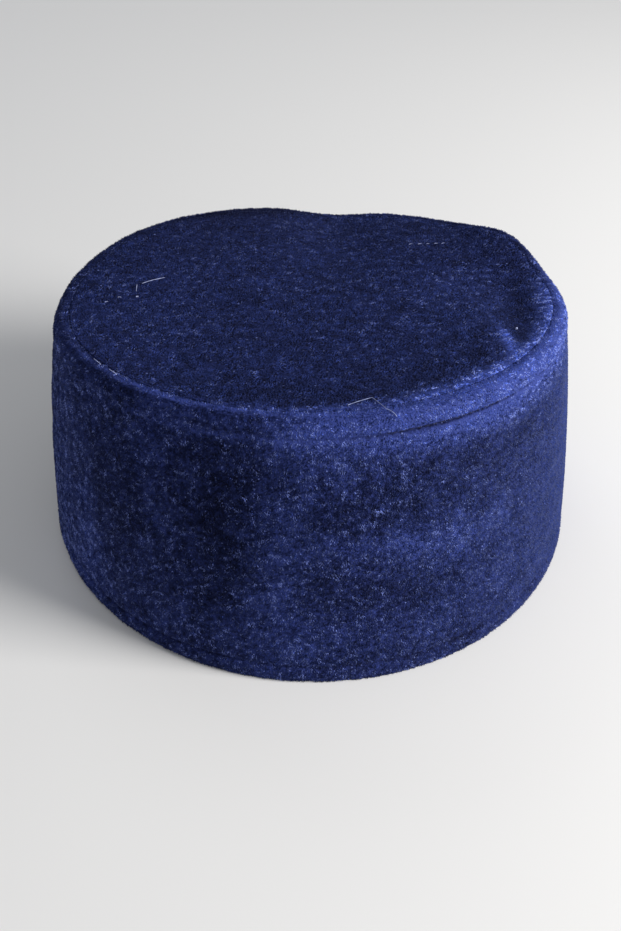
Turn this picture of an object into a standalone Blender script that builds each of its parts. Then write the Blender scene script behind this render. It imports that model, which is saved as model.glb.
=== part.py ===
"""Round prayer cap in velvet: an oval top panel sewn into a side band that widens to its hem.

Units are metres and +Z is up. The cap stands on its hem around the origin, its long axis lies
along X and its front faces -Y. Angles are in degrees, anticlockwise from +X, seen from above.
"""

import math
from typing import NamedTuple

import bmesh
import bpy
from mathutils import Vector

# Overall sizes
TOP_LENGTH = 0.166
TOP_WIDTH = 0.140
HEM_LENGTH = 0.186
HEM_WIDTH = 0.184
SIDE_HEIGHT = 0.0837
REAR_FALL = 0.0047
TOP_LEAN = -0.0014

# Cloth
CLOTH_THICKNESS = 0.0022
SEAM_GAP = 0.0003

# Top edge, where the band rolls over to the seam and the panel rises from it
ROLL_INNER_RADIUS = 0.0008
PANEL_EDGE_RADIUS = 0.003
SEAM_SLOPE = 35.0

# Stitched grooves
TOPSTITCH_DROP = 0.0058
TOPSTITCH_DEPTH = 0.0007
HEM_STITCH_HEIGHT = 0.0057
HEM_STITCH_DEPTH = 0.0005
GROOVE_HALF_WIDTH = 0.0008
PUFF_HEIGHT = 0.0005

# Hem and wall
HEM_ROUNDING = 0.0006
WALL_BULGE = 0.0015
FOLD_DEPTH = 0.0014
EDGE_LIFT = 0.0035
DENT_DEPTH = 0.004

# How sharply the edge's rises fade into the panel, and its dents towards the edge, as powers
RISE_FADE = 4
DENT_FADE = 8

# Fineness of the faceted solids
SEGMENTS = 72
WALL_ROWS = 7
ROLL_STEPS = 5
INNER_ROLL_STEPS = 2
PANEL_EDGE_STEPS = 2
PANEL_SHARES = (0.93, 0.84, 0.73, 0.6, 0.46, 0.31, 0.15)


class EdgeLift(NamedTuple):
    """A rise or sag of the top edge, as a share of EDGE_LIFT."""

    angle: float
    spread: float
    rise: float


class WallFold(NamedTuple):
    """A soft swell or hollow of the wall: its height and reach as shares of the side height."""

    angle: float
    spread: float
    height: float
    reach: float
    swell: float


class TopDent(NamedTuple):
    """A dent or ridge of the top panel: places and reaches as shares of its half sizes."""

    along: float
    across: float
    reach_along: float
    reach_across: float
    turn: float
    rise: float


EDGE_LIFTS = (
    EdgeLift(angle=174, spread=14, rise=-0.6),
    EdgeLift(angle=126, spread=14, rise=0.3),
    EdgeLift(angle=77, spread=6, rise=-0.6),
    EdgeLift(angle=72, spread=17, rise=-0.8),
    EdgeLift(angle=24, spread=8, rise=1.1),
    EdgeLift(angle=2, spread=9, rise=-0.4),
)

WALL_FOLDS = (
    WallFold(angle=-151, spread=6, height=0.36, reach=0.17, swell=-0.7),
    WallFold(angle=-134, spread=7, height=0.68, reach=0.22, swell=0.6),
    WallFold(angle=-120, spread=9, height=0.66, reach=0.22, swell=-1.0),
    WallFold(angle=-112, spread=4, height=0.36, reach=0.18, swell=-0.6),
    WallFold(angle=-96, spread=9, height=0.32, reach=0.10, swell=-0.9),
    WallFold(angle=-82, spread=24, height=0.55, reach=0.09, swell=0.8),
    WallFold(angle=-76, spread=8, height=0.34, reach=0.10, swell=-0.6),
    WallFold(angle=-34, spread=14, height=0.60, reach=0.24, swell=-0.3),
    WallFold(angle=20, spread=12, height=0.55, reach=0.25, swell=-0.6),
    WallFold(angle=74, spread=13, height=0.72, reach=0.22, swell=-0.9),
    WallFold(angle=108, spread=14, height=0.45, reach=0.26, swell=0.6),
    WallFold(angle=150, spread=12, height=0.50, reach=0.28, swell=-0.6),
)

TOP_DENTS = (
    TopDent(along=-0.10, across=-0.05, reach_along=0.55, reach_across=0.50, turn=0, rise=-0.45),
    TopDent(along=0.77, across=-0.30, reach_along=0.08, reach_across=0.28, turn=0, rise=-0.85),
    TopDent(along=0.64, across=-0.45, reach_along=0.05, reach_across=0.20, turn=0, rise=0.35),
    TopDent(along=0.24, across=0.62, reach_along=0.14, reach_across=0.34, turn=-20, rise=-0.55),
    TopDent(along=-0.42, across=0.28, reach_along=0.30, reach_across=0.16, turn=25, rise=0.20),
)

TOP_HALF = (TOP_LENGTH / 2, TOP_WIDTH / 2)
HEM_HALF = (HEM_LENGTH / 2, HEM_WIDTH / 2)
ROLL_RADIUS = ROLL_INNER_RADIUS + CLOTH_THICKNESS
ROLL_END = math.radians(90 + SEAM_SLOPE)

# Look of the cloth
VELVET_BLUE = (0.024, 0.030, 0.150, 1.0)
VELVET_BLUE_TOP = (0.020, 0.026, 0.125, 1.0)
VELVET_ROUGHNESS = 0.85
SHARP_ANGLE = math.radians(50)


def bell(offset, spread):
    """A smooth bump that is 1 at no offset and fades over the spread."""
    return math.exp(-0.5 * (offset / spread) ** 2)


def turned(angle, centre):
    """The signed difference between two angles in degrees, at most half a turn."""
    return (angle - centre + 180) % 360 - 180


def edge_rise(angle):
    """Rise or sag of the top edge from its level line."""
    return EDGE_LIFT * sum(row.rise * bell(turned(angle, row.angle), row.spread) for row in EDGE_LIFTS)


def level_height(across):
    """Height of the level top, which falls from front to rear, at a share of its half width."""
    return SIDE_HEIGHT - REAR_FALL / 2 * across


def edge_height(angle):
    """Height of the top edge's roll at its highest."""
    return level_height(math.sin(math.radians(angle))) + edge_rise(angle)


def wall_offset(angle, share):
    """How far the wall stands out of a straight line between its hem and its top edge."""
    swells = sum(
        row.swell * bell(turned(angle, row.angle), row.spread) * bell(share - row.height, row.reach)
        for row in WALL_FOLDS
    )
    fade = 4 * share * (1 - share)
    return (WALL_BULGE + FOLD_DEPTH * swells) * fade


def dent_height(along, across):
    """Rise or fall of the top panel at a place given as shares of its half sizes."""
    rise = 0.0
    for row in TOP_DENTS:
        turn = math.radians(row.turn)
        aside = along - row.along
        ahead = across - row.across
        first = aside * math.cos(turn) + ahead * math.sin(turn)
        second = ahead * math.cos(turn) - aside * math.sin(turn)
        rise += row.rise * bell(first, row.reach_along) * bell(second, row.reach_across)
    return DENT_DEPTH * rise


class Section:
    """The upright section through the cap's edge at one angle, in outward and upward lengths."""

    def __init__(self, angle):
        self.angle = angle
        turn = math.radians(angle)
        cosine, sine = math.cos(turn), math.sin(turn)
        self.outward = Vector((cosine / TOP_HALF[0], sine / TOP_HALF[1])).normalized()
        edge = Vector((TOP_LEAN + TOP_HALF[0] * cosine, TOP_HALF[1] * sine))
        hem = Vector((HEM_HALF[0] * cosine, HEM_HALF[1] * sine))
        self.middle = edge - ROLL_RADIUS * self.outward
        self.middle_height = edge_height(angle) - ROLL_RADIUS
        reach = hem - self.middle
        self.hem_out = reach.dot(self.outward)
        self.sideways = reach - self.hem_out * self.outward
        distance = math.hypot(self.hem_out, self.middle_height)
        self.lean = math.atan2(self.hem_out, self.middle_height) - math.asin(ROLL_RADIUS / distance)

    def place(self, out, height):
        """World place of a point of this section."""
        share = min(max(height / self.middle_height, 0.0), 1.0)
        level = self.middle + out * self.outward + (1 - share) * self.sideways
        return Vector((level.x, level.y, height))

    def on_wall(self, height, depth):
        """A point of the wall at a height, sunk below its outer face by a depth."""
        share = height / self.middle_height
        out = self.hem_out - height * math.tan(self.lean) - depth / math.cos(self.lean)
        return out + wall_offset(self.angle, share), height

    def on_roll(self, radius, turn):
        """A point of the top edge's roll at a turn in radians from the outward direction."""
        return radius * math.cos(turn), self.middle_height + radius * math.sin(turn)

    def wall_top(self):
        """Height at which the straight wall runs into the roll."""
        return self.middle_height + ROLL_RADIUS * math.sin(self.lean)


def spaced(start, stop, steps):
    """Evenly spaced values from start to stop, both ends included."""
    return [start + (stop - start) * step / steps for step in range(steps + 1)]


def outer_chain(section):
    """The band's outer face, from the hem's underside up over the roll to the seam."""
    corner_out, corner_height = section.on_wall(0, 0)
    stitch = edge_height(section.angle) - TOPSTITCH_DROP
    half = GROOVE_HALF_WIDTH
    chain = [(corner_out - HEM_ROUNDING, corner_height)]
    chain.append((corner_out - HEM_ROUNDING / 4, HEM_ROUNDING / 4))
    chain.append(section.on_wall(HEM_ROUNDING, 0))
    chain.append(section.on_wall(HEM_STITCH_HEIGHT / 2, -PUFF_HEIGHT))
    chain.append(section.on_wall(HEM_STITCH_HEIGHT - half, 0))
    chain.append(section.on_wall(HEM_STITCH_HEIGHT, HEM_STITCH_DEPTH))
    for height in spaced(HEM_STITCH_HEIGHT + half, stitch - half, WALL_ROWS):
        chain.append(section.on_wall(height, 0))
    chain.append(section.on_wall(stitch, TOPSTITCH_DEPTH))
    chain.append(section.on_wall(stitch + half, 0))
    chain.append(section.on_wall((stitch + half + section.wall_top()) / 2, -PUFF_HEIGHT))
    for turn in spaced(section.lean, ROLL_END, ROLL_STEPS):
        chain.append(section.on_roll(ROLL_RADIUS, turn))
    return chain


def inner_chain(section):
    """The band's inner face, from the seam down to the hem's underside."""
    seam_out, seam_height = section.on_roll(ROLL_RADIUS, ROLL_END)
    chain = [(seam_out, seam_height - rim_thickness())]
    for turn in spaced(ROLL_END, section.lean, INNER_ROLL_STEPS):
        chain.append(section.on_roll(ROLL_INNER_RADIUS, turn))
    low = HEM_STITCH_HEIGHT + GROOVE_HALF_WIDTH
    high = edge_height(section.angle) - TOPSTITCH_DROP - GROOVE_HALF_WIDTH
    for height in reversed(spaced(low, high, WALL_ROWS)):
        chain.append(section.on_wall(height, CLOTH_THICKNESS))
    chain.append(section.on_wall(HEM_ROUNDING, CLOTH_THICKNESS))
    corner_out, corner_height = section.on_wall(0, CLOTH_THICKNESS)
    chain.append((corner_out + HEM_ROUNDING, corner_height))
    return chain


def rim_thickness():
    """Upright thickness of the cloth where it slopes down to the seam."""
    return CLOTH_THICKNESS / math.cos(math.radians(SEAM_SLOPE))


def panel_rows(section):
    """The top panel's upper and lower faces at one angle, from its rim to near its middle."""
    slope = math.radians(SEAM_SLOPE)
    seam_out, seam_height = section.on_roll(ROLL_RADIUS, ROLL_END)
    turn_out = seam_out - SEAM_GAP - PANEL_EDGE_RADIUS * math.sin(slope)
    turn_height = seam_height - PANEL_EDGE_RADIUS * math.cos(slope)
    upper, lower = [], []
    for turn in spaced(slope, 0.0, PANEL_EDGE_STEPS):
        out = turn_out + PANEL_EDGE_RADIUS * math.sin(turn)
        height = turn_height + PANEL_EDGE_RADIUS * math.cos(turn)
        level = section.middle + out * section.outward
        upper.append(Vector((level.x, level.y, height)))
        lower.append(Vector((level.x, level.y, height - CLOTH_THICKNESS / math.cos(turn))))
    border = upper[-1]
    across = math.sin(math.radians(section.angle))
    lifted = border.z - level_height(across)
    for share in PANEL_SHARES:
        x = TOP_LEAN + (border.x - TOP_LEAN) * share
        y = border.y * share
        dent = dent_height((x - TOP_LEAN) / TOP_HALF[0], y / TOP_HALF[1]) * (1 - share ** DENT_FADE)
        height = level_height(across * share) + lifted * share ** RISE_FADE + dent
        upper.append(Vector((x, y, height)))
        lower.append(Vector((x, y, height - CLOTH_THICKNESS)))
    return upper, lower


def first_ring(mesh, places):
    """Starts a piece with one closed ring of edges."""
    ring = [mesh.verts.new(place) for place in places]
    for step, vertex in enumerate(ring):
        mesh.edges.new((ring[step - 1], vertex))
    return ring


def ring_edges(mesh, ring):
    """The edges of a closed ring of vertices."""
    return [mesh.edges.get((ring[step - 1], vertex)) for step, vertex in enumerate(ring)]


def extrude_ring(mesh, ring, places):
    """Extrudes a ring of edges and moves the new ring to its places."""
    made = set(bmesh.ops.extrude_edge_only(mesh, edges=ring_edges(mesh, ring))["geom"])
    new_ring = []
    for vertex in ring:
        others = (edge.other_vert(vertex) for edge in vertex.link_edges)
        new_ring.append(next(other for other in others if other in made))
    for vertex, place in zip(new_ring, places):
        vertex.co = place
    return new_ring


def close_over(mesh, ring, place):
    """Closes a ring of edges with a fan of triangles around one point."""
    middle = mesh.verts.new(place)
    for step, vertex in enumerate(ring):
        mesh.faces.new((ring[step - 1], vertex, middle))


def velvet(name, colour):
    """A rough, unpolished cloth."""
    material = bpy.data.materials.new(name)
    material.use_nodes = True
    shader = material.node_tree.nodes["Principled BSDF"]
    shader.inputs["Base Color"].default_value = colour
    shader.inputs["Roughness"].default_value = VELVET_ROUGHNESS
    shader.inputs["Metallic"].default_value = 0.0
    return material


def add_piece(name, mesh, material):
    """Turns a finished bmesh into a named object, shaded smooth."""
    bmesh.ops.recalc_face_normals(mesh, faces=mesh.faces)
    data = bpy.data.meshes.new(name)
    mesh.to_mesh(data)
    mesh.free()
    data.shade_smooth()
    data.set_sharp_from_angle(angle=SHARP_ANGLE)
    data.materials.append(material)
    piece = bpy.data.objects.new(name, data)
    bpy.context.scene.collection.objects.link(piece)
    return piece


def make_side_band(sections):
    """The side band, as rings of edges extruded up its outer face and down its inner face."""
    chains = [outer_chain(section) + inner_chain(section) for section in sections]
    mesh = bmesh.new()
    rings = []
    for row in range(len(chains[0])):
        places = [section.place(*chain[row]) for section, chain in zip(sections, chains)]
        rings.append(extrude_ring(mesh, rings[-1], places) if rings else first_ring(mesh, places))
    bmesh.ops.bridge_loops(mesh, edges=ring_edges(mesh, rings[0]) + ring_edges(mesh, rings[-1]))
    return add_piece("side_band", mesh, velvet("side_velvet", VELVET_BLUE))


def make_top_panel(sections):
    """The top panel: its lower face out to the rim, its upper face back in, both closed."""
    rows = [panel_rows(section) for section in sections]
    count = len(rows[0][0])
    order = [(1, row) for row in reversed(range(count))] + [(0, row) for row in range(count)]
    mesh = bmesh.new()
    rings = []
    for face, row in order:
        places = [pair[face][row] for pair in rows]
        rings.append(extrude_ring(mesh, rings[-1], places) if rings else first_ring(mesh, places))
    middle = Vector((TOP_LEAN, 0.0, SIDE_HEIGHT + dent_height(0.0, 0.0)))
    close_over(mesh, rings[0], middle - Vector((0.0, 0.0, CLOTH_THICKNESS)))
    close_over(mesh, rings[-1], middle)
    return add_piece("top_panel", mesh, velvet("top_velvet", VELVET_BLUE_TOP))


def main():
    for old in list(bpy.data.objects):
        bpy.data.objects.remove(old, do_unlink=True)
    sections = [Section(360 * step / SEGMENTS) for step in range(SEGMENTS)]
    make_side_band(sections)
    make_top_panel(sections)


main()
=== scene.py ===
"""Looks of a round prayer cap in crushed blue velvet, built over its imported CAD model.

Units are metres, the row frame is the CAD's: +Z is up, the front faces -Y and the cap stands on
its hem. Angles are in degrees, anticlockwise from +X seen from above. Shares of the side height
run from 0 at the hem to 1 at the top edge, and shares of the top's half sizes from -1 to 1.
"""

import math
from typing import NamedTuple

import bmesh
import bpy
import numpy as np
from mathutils import Matrix, Vector, noise
from mathutils.bvhtree import BVHTree


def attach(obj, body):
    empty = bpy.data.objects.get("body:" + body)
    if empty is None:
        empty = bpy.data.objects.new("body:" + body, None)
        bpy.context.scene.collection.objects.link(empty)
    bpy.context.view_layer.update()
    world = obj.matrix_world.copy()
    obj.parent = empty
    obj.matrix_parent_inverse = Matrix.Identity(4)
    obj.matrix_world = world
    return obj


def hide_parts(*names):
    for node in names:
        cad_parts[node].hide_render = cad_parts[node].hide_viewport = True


# Sizes of the cap, as in the CAD
TOP_HALF = (0.083, 0.070)
HEM_HALF = (0.093, 0.092)
SIDE_HEIGHT = 0.0837
REAR_FALL = 0.0047
TOP_LEAN = -0.0014
TOPSTITCH_DROP = 0.0058
HEM_STITCH_HEIGHT = 0.0057
EDGE_LIFT = 0.0035

# Camera, measured from the photograph
IMAGE_HEIGHT = 931
FOCAL_PIXELS = 1020.0
SENSOR_HEIGHT = 36.0
CAMERA_DISTANCE = 0.380
CAMERA_ELEVATION = 40.92
CAMERA_AZIMUTH = -11.15
CAMERA_ROLL = 2.04
CAMERA_AIM = (-0.000383, 0.000075, 0.00944)

# Floor, world and lights
FLOOR_SIZE = 6
FLOOR_COLOUR = (0.80, 0.80, 0.79, 1)
WORLD_COLOUR = (0.93, 0.95, 1.0, 1)
WORLD_STRENGTH = 0.36
LIGHT_AIM = (0, 0, 0.04)

# Shares of the side height, slopes of faces, and guards against dividing by nothing
NEAR_TOP = 0.85
WALL_SHARE_END = 1.05
OUTER_SLOPE = 0.2
UPPER_SLOPE = 0.3
UNDER_SLOPE = -0.6
CENTRE_GUARD = 0.01
LENGTH_GUARD = 1e-9
FLOW_GUARD = (1e-6, 0, 0)
TILT_GUARD = 0.01
PALE_GUARD = 0.01

# Nap of the crushed pile, drawn as its tone: 0 is end on, 1 lies over, and more than that glints; the
# patch tables below also add painted highlight and shade to it
WALL_LEVEL = 0.425
RIM_LEVEL = 0.29
TOP_LEVEL = 0.205
LOWEST_NAP = 0.03
BACKING_NAP = 0.3
TOP_SHINE_NAP = 0.3
RIM_SLOPE = 1.8
RIM_START = 0.6

# Noise that crushes the pile, and how much it changes the nap and the shape
CLUSTER_SIZE = 0.0085
CREASE_SIZE = 0.0034
NOISE_DECAY = 0.6
NOISE_STEP = 2.0
WALL_SEEDS = (3.1, 8.7, 6.2)
TOP_SEEDS = (5.3, 1.9, 2.4)
WALL_CLUSTER_NAP = 0.08
WALL_CREASE_NAP = 0.05
TOP_CLUSTER_NAP = 0.03
TOP_CREASE_NAP = 0.025
CRUSH_DEPTH = 0.0003
CLUSTER_DEPTH = 0.6
CREASE_DEPTH = 0.5
TOP_DEPTH = 0.4
CALMING = 0.9

# Flecks of the pile, plain or drawn out along the brushing
FLECK_SIZE = 0.0015
FLECK_SPREAD = 0.33
FLECK_SEEDS = (4.4, 9.2)
FLECK_OCTAVES = 2
PLAIN_GRAIN = (0.76, 0.76, 0.78)
DRAWN_GRAIN = (0.55, 0.75, 1.3)

# How strongly flecks change the nap
WALL_GRIT = 0.85
SHINE_GRIT = 1.5
TOP_GRIT = 0.46
TOP_SHINE_GRIT = 0.15
RIDGE_CALMING = 0.6
FLECK_HOLD = 0.5

# How often tufts are pale instead of blue: pale tufts are painted glints, with more on the wall's left and
# right as painted sheen and fewer in the shine
WALL_PALE = 0.32
LEFT_SHEEN_PALE = 0.16
RIGHT_SHEEN_PALE = 0.22
SHINE_PALE_LOSS = 0.65
TOP_PALE = 0.08
REAR_PALE = 0.06
TOP_SHINE_PALE = 0.20

# Tufts of the pile
PILE_LENGTH = 0.00048
SHORTEST_TUFT = 0.7
LENGTH_SCATTER = 0.6
PILE_WIDTH = 0.00021
TOP_PILE_WIDTH = 0.00028
PILE_ROOT = 0.00012
TUFTS_A_PIECE = 64000
TUFT_SIDES = 3
FLOOR_CLEARANCE = 0.0001
PILE_NAP = (0.02, 2)
CALM_ROUGHNESS = 0.35
ROUGH_GRIT = 0.7
LIE_TURN = 1.2
TURN_SCATTER = 0.5
SEAM_STEADYING = 0.6
UPRIGHT_LEAN = 0.65
NAP_LEAN = 0.5
LEAN_SCATTER = 0.14
LEAN_RANGE = (0.1, 1.6)
GROOVE_SHARPNESS = 1.5
GROOVE_SHRINKING = 0.8
GROOVE_THINNING = 1.6

# Tones of the tufts
BLUE_TONES = 11
PALE_TONES = 6
TONE_TOP = 2.2
TONE_SCATTER = 0.12
TONE_RANGE = (0.5, 1.5)
TONE_BLUR = 0.6
PALE_DIMMING = 0.70
PALE_ROUGH_LIFT = 0.35
PALE_SHARPNESS = 1.6
PALE_FLECKS = 2.2

# Seam between band and panel, with each side's wide and narrow rise, and the pile that closes it
SEAM_INSET = 0.0050
SEAM_REACH = 0.0018
SEAM_CLOSING = 0.000175
SEAM_LIP = 0.0008
BAND_SEAM_RISE = (0.0007, 0.00125)
TOP_SEAM_RISE = (0.0005, 0.0011)
SEAM_RISE_POWERS = (1.5, 2)
SEAM_BLEND = 0.0014
SEAM_RADIUS = 0.94
SEAM_PILE = 1.0

# Stitched grooves, drawn finer than in the CAD and darkened partly as crushed pile and partly as painted
# shade, with the puffs of cloth beside them lightened as a painted highlight
GROOVE_WIDTH = 0.0004
GROOVE_EXTRA = 0.0007
GROOVE_CRUSH_AND_SHADE = 0.85
GROOVE_FILLING = 0.0006
FILLING_WIDTH = 0.0006
HEM_GROOVE = 0.3
PUFF_OFFSET = 0.0016
PUFF_WIDTH = 0.0006
PUFF_HIGHLIGHT = 0.10

# Stitches
STITCH_PITCH = 0.0032
STITCH_LENGTH = 0.0023
STITCH_RADIUS = 0.00019
STITCH_MIDDLE = 0.6
STITCH_END = 0.2
STITCH_TAPER = 0.5
STITCH_SINK = 0.00005
SLACK_SINK = 0.0004
HEM_SLACK = 0.3
RAY_START = 0.15

WELD = 0.00001
LARGEST_FACE = 2.2e-6

# Tones of the cloth and its pile, from end on to lying over to glinting or pale
CLOTH_TONES = ((0.0030, 0.0040, 0.016, 1), (0.034, 0.052, 0.220, 1), (0.16, 0.21, 0.50, 1))
PILE_TONES = ((0.0022, 0.0044, 0.024, 1), (0.092, 0.166, 0.740, 1), (0.21, 0.28, 0.72, 1))
SHEEN_BLUE = (0.27, 0.35, 1.0, 1)
BACKING_TONES = ((0.008, 0.010, 0.035, 1), (0.018, 0.023, 0.075, 1))
FIBRE_SHADE = 0.6

# Glints and tufts drawn in the cloth's own material
TUFT_SIZE = 0.00045
GLINT_SIZE = 0.00055
GLINT_EDGE = (0.15, 0.55)
GLINT_THRESHOLDS = (0.93, 0.45)
NOISE_MIDDLE = (0.3, 0.7)
TUFT_SWING = 0.18
CLUSTER_SWING = 0.10
GLINT_HEIGHT = 0.4
CLOTH_ROUGHNESS = (0.92, 0.68)


class Side(NamedTuple):
    """A side of the cap, fading round it over a spread."""

    angle: float
    spread: float


class EdgeLift(NamedTuple):
    """A rise or sag of the top edge, as a share of EDGE_LIFT."""

    angle: float
    spread: float
    rise: float


class StitchPull(NamedTuple):
    """A stretch of the topstitching that is pulled tight."""

    angle: float
    spread: float
    pull: float


class RoundNap(NamedTuple):
    """A patch of nap, brighter above 0 and darker below, at a share up the wall or out; the tables hold
    brushed pile as well as painted sheen, highlight and shade.
    """

    angle: float
    place: float
    spread: float
    reach: float
    nap: float


class SeamShine(NamedTuple):
    """A stretch of the seam's painted shine, bright above 0, or of painted shade below 0, and how far
    inside the top's outline it runs.
    """

    angle: float
    spread: float
    inside: float
    reach: float
    nap: float


class TopNap(NamedTuple):
    """A patch of the top where the pile is brushed bright, above 0, or dark; at the ridge it is a painted
    highlight.
    """

    along: float
    across: float
    reach_along: float
    reach_across: float
    nap: float


class Lint(NamedTuple):
    """A fibre that lies on the top, its length and thickness in metres."""

    along: float
    across: float
    heading: float
    length: float
    thickness: float


# Rises and sags of the top edge, as in the CAD
EDGE_LIFTS = (
    EdgeLift(angle=174, spread=14, rise=-0.6),
    EdgeLift(angle=126, spread=14, rise=0.3),
    EdgeLift(angle=77, spread=6, rise=-0.6),
    EdgeLift(angle=72, spread=17, rise=-0.8),
    EdgeLift(angle=24, spread=8, rise=1.1),
    EdgeLift(angle=2, spread=9, rise=-0.4),
)

# Where the topstitching is pulled tight
STITCH_PULLS = (
    StitchPull(angle=-67, spread=19, pull=1.0),
    StitchPull(angle=-106, spread=8, pull=0.12),
    StitchPull(angle=20, spread=30, pull=0.6),
    StitchPull(angle=100, spread=40, pull=0.4),
)

# The wall's calm right and its left, both given more pale tufts as painted sheen, its drawn side, and the
# painted shine under its edge at the front
RIGHT_SIDE = Side(angle=-29, spread=30)
LEFT_SIDE = Side(angle=-165, spread=35)
DRAWN_SIDE = Side(angle=-35, spread=35)
WALL_SHINE = RoundNap(angle=-62, place=0.92, spread=26, reach=0.05, nap=1.0)

# The wall's brushed patches, with painted sheen on its left and right, and from the row at 178 degrees on
# mostly the rolled top edge, with its painted highlight at the front and right and painted shade at the
# back
WALL_PILE_AND_PAINTED_LIGHT = (
    RoundNap(angle=-166, place=0.50, spread=8, reach=0.45, nap=0.22),
    RoundNap(angle=-158, place=0.12, spread=12, reach=0.14, nap=0.24),
    RoundNap(angle=-131, place=0.52, spread=9, reach=0.32, nap=-0.03),
    RoundNap(angle=-151, place=0.30, spread=2.5, reach=0.14, nap=0.30),
    RoundNap(angle=-142, place=0.50, spread=5, reach=0.30, nap=-0.12),
    RoundNap(angle=-133, place=0.78, spread=2.5, reach=0.12, nap=0.12),
    RoundNap(angle=-117, place=0.58, spread=5.5, reach=0.36, nap=-0.22),
    RoundNap(angle=-106, place=0.44, spread=3.5, reach=0.22, nap=0.20),
    RoundNap(angle=-107, place=0.81, spread=4, reach=0.05, nap=-0.14),
    RoundNap(angle=-107, place=0.34, spread=5, reach=0.05, nap=0.14),
    RoundNap(angle=-101, place=0.935, spread=3.5, reach=0.035, nap=0.24),
    RoundNap(angle=-85, place=0.93, spread=4, reach=0.035, nap=0.18),
    RoundNap(angle=-99, place=0.90, spread=6, reach=0.07, nap=0.20),
    RoundNap(angle=-114, place=0.14, spread=10, reach=0.09, nap=0.13),
    RoundNap(angle=-77, place=0.70, spread=11, reach=0.14, nap=-0.10),
    RoundNap(angle=-98, place=0.37, spread=6, reach=0.07, nap=-0.16),
    RoundNap(angle=-79, place=0.34, spread=5, reach=0.07, nap=-0.14),
    RoundNap(angle=-90, place=0.64, spread=7, reach=0.05, nap=-0.10),
    RoundNap(angle=-85, place=0.56, spread=13, reach=0.03, nap=0.16),
    RoundNap(angle=-72, place=0.51, spread=8, reach=0.045, nap=0.20),
    RoundNap(angle=-57, place=0.76, spread=13, reach=0.08, nap=-0.09),
    RoundNap(angle=-44, place=0.44, spread=13, reach=0.34, nap=-0.05),
    RoundNap(angle=-75, place=0.05, spread=14, reach=0.06, nap=-0.08),
    RoundNap(angle=-10, place=0.50, spread=12, reach=0.40, nap=0.20),
    RoundNap(angle=178, place=0.98, spread=22, reach=0.05, nap=0.06),
    RoundNap(angle=-121, place=0.965, spread=14, reach=0.03, nap=0.24),
    RoundNap(angle=-137, place=0.96, spread=1.2, reach=0.04, nap=-0.16),
    RoundNap(angle=-118, place=0.931, spread=13, reach=0.007, nap=0.42),
    RoundNap(angle=-117, place=0.955, spread=10, reach=0.010, nap=-0.14),
    RoundNap(angle=-105, place=0.955, spread=3, reach=0.02, nap=-0.12),
    RoundNap(angle=-97, place=0.965, spread=5, reach=0.03, nap=0.55),
    RoundNap(angle=-84, place=0.97, spread=7, reach=0.03, nap=0.50),
    RoundNap(angle=-61, place=0.965, spread=12, reach=0.04, nap=0.80),
    RoundNap(angle=-34, place=0.97, spread=14, reach=0.04, nap=0.72),
    RoundNap(angle=-8, place=0.98, spread=10, reach=0.05, nap=0.40),
    RoundNap(angle=-68, place=0.89, spread=12, reach=0.025, nap=0.34),
    RoundNap(angle=90, place=0.98, spread=50, reach=0.05, nap=-0.14),
    RoundNap(angle=99, place=0.98, spread=13, reach=0.05, nap=-0.12),
    RoundNap(angle=66, place=0.98, spread=11, reach=0.05, nap=0.16),
)

# The painted shine along the seam, and painted shade on a stretch at the back, at distances inside the
# top's outline
SEAM_SHINE_AND_SHADE = (
    SeamShine(angle=-152, spread=9, inside=0.0030, reach=0.0006, nap=0.20),
    SeamShine(angle=-136, spread=9, inside=0.0034, reach=0.0008, nap=0.46),
    SeamShine(angle=-119, spread=10, inside=0.0040, reach=0.0010, nap=0.46),
    SeamShine(angle=-102, spread=9, inside=0.0046, reach=0.0012, nap=0.50),
    SeamShine(angle=-86, spread=9, inside=0.0046, reach=0.0020, nap=0.29),
    SeamShine(angle=-62, spread=12, inside=0.0044, reach=0.0030, nap=0.92),
    SeamShine(angle=-38, spread=12, inside=0.0040, reach=0.0028, nap=0.74),
    SeamShine(angle=-17, spread=9, inside=0.0064, reach=0.0030, nap=0.74),
    SeamShine(angle=99, spread=14, inside=0.0046, reach=0.0030, nap=-0.13),
    SeamShine(angle=66, spread=12, inside=0.0046, reach=0.0030, nap=0.10),
)

# Painted shade near the top's rim, in the dent beside the ridge and at the back and front, by angle and
# share of the way out
TOP_RIM_PAINTED_SHADE = (
    RoundNap(angle=-22, place=0.85, spread=11, reach=0.06, nap=-0.10),
    RoundNap(angle=-34, place=0.88, spread=3.5, reach=0.04, nap=-0.12),
    RoundNap(angle=-41, place=0.905, spread=2.5, reach=0.03, nap=-0.14),
    RoundNap(angle=85, place=0.92, spread=45, reach=0.16, nap=-0.04),
    RoundNap(angle=-80, place=0.82, spread=24, reach=0.08, nap=-0.065),
)

# Where the ridge's pile is calmer
RIDGE = TopNap(along=0.66, across=-0.54, reach_along=0.03, reach_across=0.12, nap=1.0)

# The ridge's painted highlight in the first two rows, then the softer changes of the brushed pile on the
# top
TOP_PILE_AND_HIGHLIGHT = (
    TopNap(along=0.652, across=-0.50, reach_along=0.010, reach_across=0.070, nap=1.20),
    TopNap(along=0.646, across=-0.63, reach_along=0.007, reach_across=0.055, nap=1.30),
    TopNap(along=-0.20, across=0.72, reach_along=0.28, reach_across=0.20, nap=-0.03),
    TopNap(along=-0.85, across=-0.10, reach_along=0.20, reach_across=0.50, nap=0.04),
    TopNap(along=0.63, across=-0.52, reach_along=0.03, reach_across=0.09, nap=0.18),
    TopNap(along=0.36, across=-0.28, reach_along=0.16, reach_across=0.20, nap=0.03),
    TopNap(along=0.52, across=0.05, reach_along=0.12, reach_across=0.18, nap=0.06),
    TopNap(along=-0.66, across=0.14, reach_along=0.12, reach_across=0.10, nap=0.06),
)

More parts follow.
